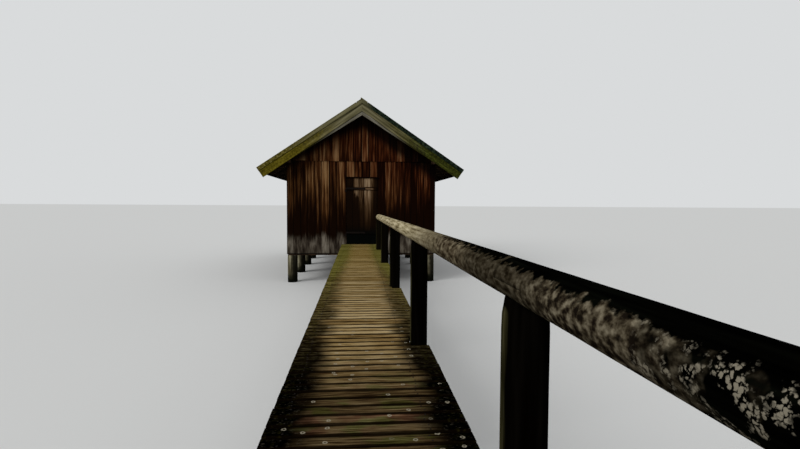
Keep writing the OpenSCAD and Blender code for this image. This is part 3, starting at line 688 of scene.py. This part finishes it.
# Handrail posts: round softwood that runs from the lake bed up through the deck.
# Each head is tapered and coped to the log on it. They are black with old tar, painted darker still as
# shade, with a painted highlight, a thin grey-green line, down the left side where the light falls.
rail_low, rail_high, rail_run = 0.812, 0.950, 13.314
rail_fall = math.atan((rail_high - rail_low) / rail_run)
rail_start = Vector((rail_x, post_places[0], deck_top + rail_low))
rail_way = Vector((0, -math.cos(rail_fall), math.sin(rail_fall)))
rail_ends, taper_run = (0.074, 0.066), 13.4
head_high, head_radius, saddle = 0.060, 0.064, 0.030


def rail_radius(run):
    """The logs taper towards the shore."""
    return rail_ends[0] + (rail_ends[1] - rail_ends[0]) * run / taper_run


blackened = Timber("blackened_softwood_post", 0.012, 0.045, 26, relief=0.002, sheen=0.0)
skin = blackened.skin
# the base is near black, partly old tar and partly painted shade for the backlit posts
colour = add(skin, "ValToRGB", [blackened.streaks], (
    (0.30, "#020100"), (0.50, "#040302"), (0.66, "#090705"), (0.82, "#141009")))
far_grey = add(skin, "MapRange", [blackened.y, -5.0, 1.6, 0, 0.08])
# painted highlight: a thin grey-green strip on the left-facing side (-x) stands in for the lit edge of the round post
highlight_colour = add(skin, "ValToRGB", [blackened.fibres], ((0.30, "#26230f"), (0.50, "#454128"), (0.70, "#69654a")))
painted_highlight_strip = (0.0, (blackened.out_x, -1.0), (blackened.patches(0.10, 3.0, (1, 1, 0.3)), 0.28))
painted_highlight_strip = add(skin, "MapRange", [painted_highlight_strip, 1.04, 1.20, 0, 0.8])
for share, over in ((far_grey, "#37301f"), (painted_highlight_strip, highlight_colour)):
    colour = add(skin, "Mix", {0: share, 6: colour, 7: over}, **blend)
post_skin = link(skin, colour)


def coped_head(place, run, reach):
    """Trims a post's head to the underside of the log, and tapers it."""
    # the peeled log lies a little inside its radius
    log = rail_radius(run - post_runs[0]) * 0.972

    def trim(spot):
        aside, along = spot.x - rail_x, spot.y - place
        from_head = spot.z - (reach - head_high)
        if from_head > 0:
            squeeze = 1 - (1 - head_radius / post_radius) * min(from_head / head_high, 1)
            aside, along = aside * squeeze, along * squeeze
        under = (rail_start.z + (run - post_runs[0] - along) * math.tan(rail_fall)
                 - math.sqrt(max(log ** 2 - aside ** 2, 0)))
        return Vector((rail_x + aside, place + along, min(spot.z, under)))
    return trim


posts = []
for place, run in zip(post_places, post_runs):
    reach = rail_start.z + (run - post_runs[0]) * math.tan(rail_fall) - rail_ends[0] + saddle
    posts.append((Vector((rail_x, place, 0)), Vector((rail_x, place, reach)), post_radius, post_radius,
                  coped_head(place, run, reach), 0))
settle(round_timbers("rail_posts_round", posts, sides=36, step=0.05, wobble=0.035, seed=7), post_skin,
       "pile_timber", "rail_posts")


# Deck: sawn larch planks spiked across the stringers with a finger's gap between them.
# Feet have worn the middle pale, the sides are black with damp, and moss and lichen grow on them.
planks = Timber("worn_larch_planks", 0.005, 0.014, 30, relief=0.0015, sheen=0.0)
skin = planks.skin
middle = (deck_left + deck_right) / 2
aside = add(skin, "Math", [(-middle, (planks.x, 1.0))], operation="ABSOLUTE")
# wear: paler where it is worn, plank by plank; the planks near the shore end are wetter
wetter = add(skin, "MapRange", [planks.y, -5.6, -8.3, 0.03, -0.12])
wear = add(skin, "Math", [planks.tone, 0.18, (wetter, (planks.streaks, 0.62), (planks.fibres, 0.46))],
           operation="MULTIPLY_ADD")
# the wood that feet keep bare; by the hut it is more yellow, near the shore duller, and there some
# planks have gone reddish and some olive, in patches
worn, ochre, dull, stained, olive = (add(skin, "ValToRGB", [wear], stops) for stops in (
    ((0.38, "#180d04"), (0.47, "#483016"), (0.58, "#80673c"), (0.68, "#a1895e"), (0.84, "#bca881")),
    ((0.38, "#1a1003"), (0.50, "#5f4718"), (0.64, "#8a7036"), (0.84, "#ab935a")),
    ((0.34, "#160e07"), (0.46, "#352817"), (0.58, "#574830"), (0.74, "#77694e")),
    ((0.42, "#140703"), (0.56, "#43291a"), (0.80, "#7c5640")),
    ((0.38, "#100f03"), (0.52, "#3e3c18"), (0.76, "#77734a"))))
# the damp sides, which dry out towards the hut, and the moss
dark_sides, drier, green = (add(skin, "ValToRGB", [wear], stops) for stops in (
    ((0.46, "#000000"), (0.66, "#020201"), (0.78, "#0e0b07"), (0.92, "#262017")),
    ((0.38, "#0e0802"), (0.50, "#2e200b"), (0.64, "#54441f"), (0.80, "#746440")),
    ((0.42, "#26260a"), (0.58, "#514d14"), (0.78, "#77713a"))))
# how far each of them holds along the jetty
by_hut, near_shore, nearby, half_way, moss_share, shore = (
    add(skin, "MapRange", [planks.y, *limits]) for limits in (
        (-5.0, 0.5, 0, 0.8), (-6.4, -7.6, 0, 0.9), (-6.6, -7.7, 0, 0.85), (-7.2, -5.2, 0, 0.55), (-6.4, -3.6, 0.12),
        (-4.5, -6.5, 0, 0.8)))
hutward, mossy_way = (add(skin, "MapRange", [planks.y, *limits], **soft)
                      for limits in ((-7.4, -3.0, 0, 0.85), (-5.8, 0.8, -0.10)))
path = (aside, (planks.patches(0.22, 4.0, (1, 0.8, 1)), 0.26), (planks.tone, 0.09))
path = add(skin, "MapRange", [path, 0.59, 0.385], **soft)
reddish = add(skin, "MapRange", [(0.0, (planks.tone, 0.5), (planks.patches(0.16, 2.0), 0.6)), 0.60, 0.74])
greenish = add(skin, "MapRange", [planks.patches(0.20, 2.0, (1, 2, 1)), 0.52, 0.62])
# painted highlights: on the dark sides pale dashes 40 mm long stand for light caught on the fibres, and half way to
# the hut pale stretches of 100 mm stand for light caught along whole plank edges
painted_glints = add(skin, "MapRange", [planks.drawn_out(0.006, 7, 2.0), 0.63, 0.70, 0, 0.4])
painted_edge_glints = add(skin, "MapRange", [planks.drawn_out(0.014, 7, 2.0), 0.54, 0.62])
# the rounded edges of each plank are dark with dirt
rim = add(skin, "MapRange", [(planks.edge, (planks.patches(0.06), 0.12)), 0.36, 0.50, 0, 0.92], **soft)
# moss on both sides: thick at the hut, then in specks
sides = add(skin, "MapRange", [aside, 0.10, 0.46, 0, 0.45])
moss = (planks.patches(0.022, 4.0), (sides, 1.0), (mossy_way, 0.34))
moss = add(skin, "MapRange", [moss, 0.92, 1.14, 0, 0.85], **soft)
# lichen: small pale rings about 25 mm across, about ten on a square metre, towards the shore
bent = add(skin, "Mix", {0: 0.014, 4: planks.place, 5: add(skin, "TexNoise", {
    "Vector": planks.place, "Scale": 70.0}, out="Color")}, out=1, data_type="VECTOR")
cells = {"Vector": bent, "Scale": 9.0, "Randomness": 1.0}
from_spot = add(skin, "TexVoronoi", cells, voronoi_dimensions="2D")
picked = add(skin, "SeparateXYZ", [add(skin, "TexVoronoi", cells, out="Color", voronoi_dimensions="2D")])
picked = add(skin, "MapRange", [picked, 0.80, 0.82])
ring = picked
for first, last in ((0.13, 0.10), (0.03, 0.08)):
    ring = add(skin, "Math", [ring, add(skin, "MapRange", [from_spot, first, last])], operation="MULTIPLY")
reddish, greenish, painted_edge_glints, moss, ring = (
    add(skin, "Math", [share, where], operation="MULTIPLY") for share, where in (
        (reddish, nearby), (greenish, nearby), (painted_edge_glints, half_way), (moss, moss_share), (ring, shore)))
for share, over in ((by_hut, ochre), (near_shore, dull), (reddish, stained), (greenish, olive)):
    worn = add(skin, "Mix", {0: share, 6: worn, 7: over}, **blend)
top = dark_sides
for share, over in ((hutward, drier), (painted_glints, "#6e6656"), (painted_edge_glints, "#837650"), (path, worn), (rim, "#0a0502"),
                    (moss, green), (ring, "#9c9480")):
    top = add(skin, "Mix", {0: share, 6: top, 7: over}, **blend)
plank_skin = link(skin, top)

chance = random.Random(91)
cuts, spikes = [], []
plank_pitch, plank_wide, plank_thick = 0.11565, 0.108, 0.038
stringer_lines = (pile_x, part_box("stringers")[1].x - 0.05)
for plank in range(int((front_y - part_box("deck_bay_6")[0].y) / plank_pitch)):
    far = front_y - 0.004 - plank * plank_pitch
    wide = plank_wide - chance.uniform(0, 0.004)
    # a plank beside a post is cut off square where it meets the round of it
    clear = min(max(abs(far - wide / 2 - place) - wide / 2 - 0.003, 0) for place in post_places)
    left_end = deck_left + chance.uniform(0.0, 0.004)
    right_end = deck_right - chance.uniform(0.0, 0.004)
    if clear < post_radius:
        right_end = rail_x - math.sqrt(post_radius ** 2 - clear ** 2) - 0.004
    level = deck_top - plank_thick - chance.uniform(0.0016, 0.0046)
    cuts.append(((left_end, far - wide, level), (right_end - left_end, 0, 0), (0, wide, 0), (0, 0, plank_thick),
                 {"start": chance.uniform(-0.01, 0.01)}))
    spikes += [(Vector((x + chance.uniform(-0.01, 0.01), far - wide * part, level + plank_thick)),
                Vector((0, 0, 1))) for x in stringer_lines for part in (0.25, 0.75)]
settle(sawn_boards("deck_planks", cuts, arris=0.005, stations=8, wander=0.0014, seed=92), plank_skin,
       "deck_planks", *[f"deck_bay_{bay}" for bay in range(1, 7)])
settle(nail_heads("deck_spikes", spikes, 0.006, 0.0012), forged, "ironwork")


# Handrail: three peeled logs, half-lapped end to end and bedded in the heads of the posts.
# Dry and pale at the hut's end; towards the shore the top is black and the side is spotted with lichen.
lichened = Timber("lichened_softwood_rail", 0.010, 0.030, 24, relief=0.002, sheen=0.0)
skin = lichened.skin
cream, brown, dim, crust, black = (add(skin, "ValToRGB", [pattern], stops) for pattern, stops in (
    (lichened.streaks, ((0.30, "#52462f"), (0.44, "#8b7f60"), (0.58, "#b2a686"), (0.76, "#ccc1a2"))),
    (lichened.patches(0.026, 5.0, (1, 0.45, 1)), (
        (0.34, "#231c12"), (0.46, "#413829"), (0.56, "#5b5140"), (0.72, "#80765f"))),
    (lichened.patches(0.020, 5.0, (1, 0.45, 1)), (
        (0.34, "#17120a"), (0.46, "#2c261b"), (0.56, "#3b3529"), (0.72, "#544d3f"))),
    (lichened.patches(0.018, 5.0, (1, 0.7, 1)), (
        (0.38, "#17120d"), (0.46, "#30291e"), (0.54, "#4e4637"), (0.70, "#7d7461"))),
    (lichened.streaks, ((0.30, "#000000"), (0.52, "#030302"), (0.75, "#0a0c07")))))
# spots of lichen 6 mm across, in clusters, on the black end towards the shore
bent = add(skin, "Mix", {0: 0.012, 4: lichened.place, 5: add(skin, "TexNoise", {
    "Vector": lichened.place, "Scale": 140.0}, out="Color")}, out=1, data_type="VECTOR")
near_spot = add(skin, "MapRange", [add(skin, "TexVoronoi", {"Vector": bent, "Scale": 130.0}), 0.56, 0.40])
cluster = add(skin, "MapRange", [lichened.patches(0.032, 4.0, (1, 0.6, 1)), 0.49, 0.56])
near_spot = add(skin, "Math", [near_spot, cluster], operation="MULTIPLY")
sparse = add(skin, "Mix", {0: near_spot, 6: black, 7: "#827b6b"}, **blend)
# from the hut to the shore: pale, brown, dim brown, crusted, black with spots
coat = cream
for first, last, next_coat in ((-5.6, -7.5, brown), (-7.85, -8.2, dim), (-8.7, -9.0, crust), (-9.28, -9.52, sparse)):
    share = add(skin, "MapRange", [(lichened.y, (lichened.patches(0.05), 0.6)), first, last])
    coat = add(skin, "Mix", {0: share, 6: coat, 7: next_coat}, **blend)
# the top is black, and the black reaches further down the side towards the shore
reach = add(skin, "MapRange", [lichened.y, -7.0, -9.4, -1.12, -0.66])
topside = (reach, (lichened.out_z, 1.0), (lichened.patches(0.022, 5.0, (1, 0.7, 1)), 0.8))
topside = add(skin, "MapRange", [topside, 0.33, 0.47], **soft)
# painted shade: towards the shore the right side (+x), away from the light, is painted black too
painted_shade_side = add(skin, "Math", [add(skin, "MapRange", [lichened.out_x, 0.0, 0.5]),
                              add(skin, "MapRange", [lichened.y, -6.0, -8.0])], operation="MULTIPLY")
topside = add(skin, "Math", [topside, painted_shade_side], operation="MAXIMUM")
rail_skin = link(skin, add(skin, "Mix", {0: topside, 6: coat, 7: black}, **blend))
# where the logs end, measured from the first post, the length of a half lap and the gap in it
splices, lap, lap_gap = (-0.110, 5.428, 10.728, 13.426), 0.260, 0.0005
ring_step = 0.0325
upwards = Vector((0, math.sin(rail_fall), math.cos(rail_fall)))


def half_lap(count, begin, stop):
    """Cuts the half laps: the hut end of a log lies over the one before it. The ring of corners next
    to a lap is drawn up to it, so that its shoulder is square."""
    def trim(spot):
        offset = spot - rail_start
        run, height = offset.dot(rail_way), offset.dot(upwards)
        past, short = run - (begin + lap + lap_gap), stop - lap - lap_gap - run
        if count > 0 and height < lap_gap and past < ring_step + 0.001:
            return spot + upwards * (lap_gap - height) if past < 0 else spot - rail_way * past
        if count < 2 and height > -lap_gap and short < ring_step + 0.001:
            return spot - upwards * (height + lap_gap) if short < 0 else spot + rail_way * short
        return spot
    return trim


for count in range(3):
    begin = splices[count] - (lap / 2 if count > 0 else 0)
    stop = splices[count + 1] + (lap / 2 if count < 2 else 0)
    settle(round_timbers(f"handrail_log_{count + 1}_round", [
        (rail_start + rail_way * begin, rail_start + rail_way * stop, rail_radius(begin), rail_radius(stop),
         half_lap(count, begin, stop), begin)], sides=40, step=ring_step, wobble=0.05, seed=101),
        rail_skin, "rail_logs", f"handrail_log_{count + 1}")


# Floor, light and camera: a plain pale floor at the level of the pile feet under an even, soft sky,
# one broad lamp from the left, and the camera at the photograph's place on the jetty.
studio_floor = new_piece("studio_floor", [(-400, -400, 0), (400, -400, 0), (400, 400, 0), (-400, 400, 0)],
                         [(0, 1, 2, 3)])
floor_paint = new_finish("pale_floor_paint", 0.9, 0.0)
seen = add(floor_paint, "LightPath", out="Is Camera Ray")
link(floor_paint, add(floor_paint, "Mix", {0: seen, 6: "#8f8f8c", 7: "#dcdcda"}, **blend))
studio_floor.data.materials.append(floor_paint)

world = bpy.data.worlds.new("soft_sky")
bpy.context.scene.world = world
world.use_nodes = True
lit = add(world, "Background", {"Color": "#f4f6f8", "Strength": 0.62})
shown = add(world, "Background", {"Color": "#d9dbdc", "Strength": 1.0})
seen = add(world, "Math", [add(world, "LightPath", out="Is Camera Ray"),
                           add(world, "LightPath", out="Is Glossy Ray")], operation="MAXIMUM")
world.node_tree.links.new(add(world, "MixShader", [seen, lit, shown]),
                          world.node_tree.nodes["World Output"].inputs["Surface"])

lamp = bpy.data.lights.new("broad_lamp", "SUN")
lamp.energy = 1.6
lamp.angle = math.radians(35)
lamp_way = Vector((0.75, 0.62, -0.55))
in_scene("broad_lamp", lamp).rotation_euler = lamp_way.to_track_quat("-Z", "Y").to_euler()

# fitted to the photograph: its focal length in pixels of a picture 800 wide, its place and its turns
focal, eye = 478.66, (-0.0802, front_y - 13.5886, 2.2324)
yaw, dip, roll = (math.radians(turn) for turn in (4.9054, 2.5261, 0.3279))
camera = bpy.data.cameras.new("jetty_camera")
camera.sensor_width = 36
camera.lens = camera.sensor_width * focal / 800
camera.clip_end = 1000
camera_object = in_scene("jetty_camera", camera)
camera_object.matrix_world = Matrix.Translation(eye) @ Matrix.Rotation(-yaw, 4, "Z") @ Matrix.Rotation(
    math.radians(90) - dip, 4, "X") @ Matrix.Rotation(roll, 4, "Z")
bpy.context.scene.camera = camera_object
bpy.context.scene.view_settings.view_transform = "Standard"
